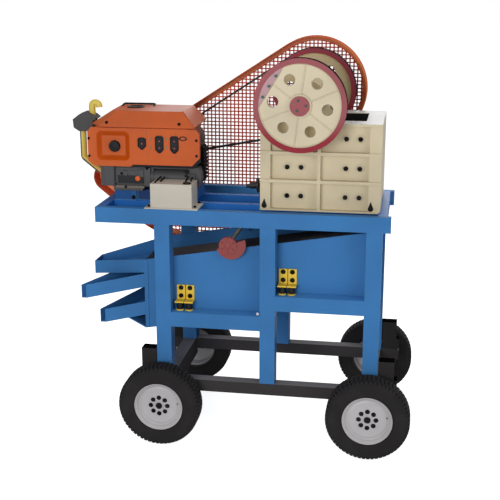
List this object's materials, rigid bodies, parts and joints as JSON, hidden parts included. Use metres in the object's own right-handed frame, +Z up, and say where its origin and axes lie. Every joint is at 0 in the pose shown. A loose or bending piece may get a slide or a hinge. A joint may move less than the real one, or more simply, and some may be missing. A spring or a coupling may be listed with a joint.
{
  "type": "jaw crusher",
  "caption": "Wheeled jaw crushing set: engine, belt-driven jaw crusher with flywheels on a stand over a sloping vibrating screen with discharge chutes.",
  "frame": {"origin": "on the floor, under the middle of the machine's overall length and width", "axes": "+X to the right in the front view, along the deck from engine to crusher; +Y away from the viewer, towards the belt guard; +Z up"},
  "size_m": [2.3488, 1.25, 2.5939],
  "materials": {
    "frame_blue": "gloss blue paint",
    "trolley_dark": "satin charcoal paint",
    "tyre_rubber": "matt black rubber",
    "rim_grey": "light grey paint",
    "crusher_cream": "satin cream paint on cast and welded steel",
    "jaw_steel": "dark cast manganese steel",
    "flywheel_paint": "crimson rim and cap, cream disc",
    "shaft_steel": "turned steel",
    "engine_orange": "gloss orange paint",
    "engine_grey": "satin dark grey",
    "cover_black": "black ribbed plastic",
    "pipe_yellow": "yellow paint",
    "box_greige": "pale grey-beige paint",
    "pulley_steel": "dark cast iron",
    "belt_rubber": "matt black rubber",
    "guard_rust": "rust-orange paint",
    "guard_red": "dark red paint",
    "screen_black": "black screening mat",
    "mount_yellow": "yellow paint on the brackets, black rubber on the springs",
    "exciter_red": "red paint"
  },
  "bodies": {
    "machine": {"stand_front": "frame_blue", "stand_rear": "frame_blue", "deck_beam_front": "frame_blue", "deck_beam_rear": "frame_blue", "deck_inner_frame": "frame_blue", "screen_box": "frame_blue", "chute_top": "frame_blue", "chute_middle": "frame_blue", "chute_bottom": "frame_blue", "trolley_rail_front": "trolley_dark", "trolley_rail_rear": "trolley_dark", "cross_member_left": "trolley_dark", "cross_member_right": "trolley_dark", "axle_left": "trolley_dark", "axle_right": "trolley_dark", "crusher_body": "crusher_cream", "swing_jaw": "crusher_cream", "fixed_jaw": "jaw_steel", "engine_housing": "engine_orange", "engine_block": "engine_grey", "exhaust_silencer": "engine_grey", "engine_end_cover": "cover_black", "exhaust_pipe": "pipe_yellow", "engine_base_box": "box_greige", "drive_belt": "belt_rubber", "guard_rim": "guard_rust", "guard_mesh": "guard_red", "screen_mesh_deck": "screen_black", "spring_mount_front_left": "mount_yellow", "spring_mount_front_right": "mount_yellow", "spring_mount_rear_left": "mount_yellow", "spring_mount_rear_right": "mount_yellow"},
    "crusher_drive": {"crusher_shaft": "shaft_steel", "flywheel_front": "flywheel_paint", "flywheel_rear": "flywheel_paint"},
    "engine_drive": {"engine_pulley": "pulley_steel"},
    "screen_drive": {"exciter": "exciter_red"},
    "wheel_front_left": {"tyre_front_left": "tyre_rubber", "rim_front_left": "rim_grey"},
    "wheel_front_right": {"tyre_front_right": "tyre_rubber", "rim_front_right": "rim_grey"},
    "wheel_rear_left": {"tyre_rear_left": "tyre_rubber", "rim_rear_left": "rim_grey"},
    "wheel_rear_right": {"tyre_rear_right": "tyre_rubber", "rim_rear_right": "rim_grey"}
  },
  "joints": [
    {"name": "crusher_spin", "type": "hinge", "parent": "machine", "child": "crusher_drive", "pos_m": [0.4335, 0, 2.231], "axis": [0, 1, 0], "continuous": true},
    {"name": "engine_spin", "type": "hinge", "parent": "machine", "child": "engine_drive", "pos_m": [-0.4515, 0.442, 1.877], "axis": [0, 1, 0], "continuous": true},
    {"name": "exciter_spin", "type": "hinge", "parent": "machine", "child": "screen_drive", "pos_m": [-0.0315, 0, 1.31212], "axis": [0, 1, 0], "continuous": true},
    {"name": "wheel_front_left_spin", "type": "hinge", "parent": "machine", "child": "wheel_front_left", "pos_m": [-0.4535, -0.5525, 0.27], "axis": [0, 1, 0], "continuous": true},
    {"name": "wheel_front_right_spin", "type": "hinge", "parent": "machine", "child": "wheel_front_right", "pos_m": [0.9045, -0.5525, 0.27], "axis": [0, 1, 0], "continuous": true},
    {"name": "wheel_rear_left_spin", "type": "hinge", "parent": "machine", "child": "wheel_rear_left", "pos_m": [-0.4535, 0.5525, 0.27], "axis": [0, 1, 0], "continuous": true},
    {"name": "wheel_rear_right_spin", "type": "hinge", "parent": "machine", "child": "wheel_rear_right", "pos_m": [0.9045, 0.5525, 0.27], "axis": [0, 1, 0], "continuous": true}
  ],
  "couplings": [
    {"joint": "engine_spin", "follows": "crusher_spin", "ratio": 2.8872}
  ]
}
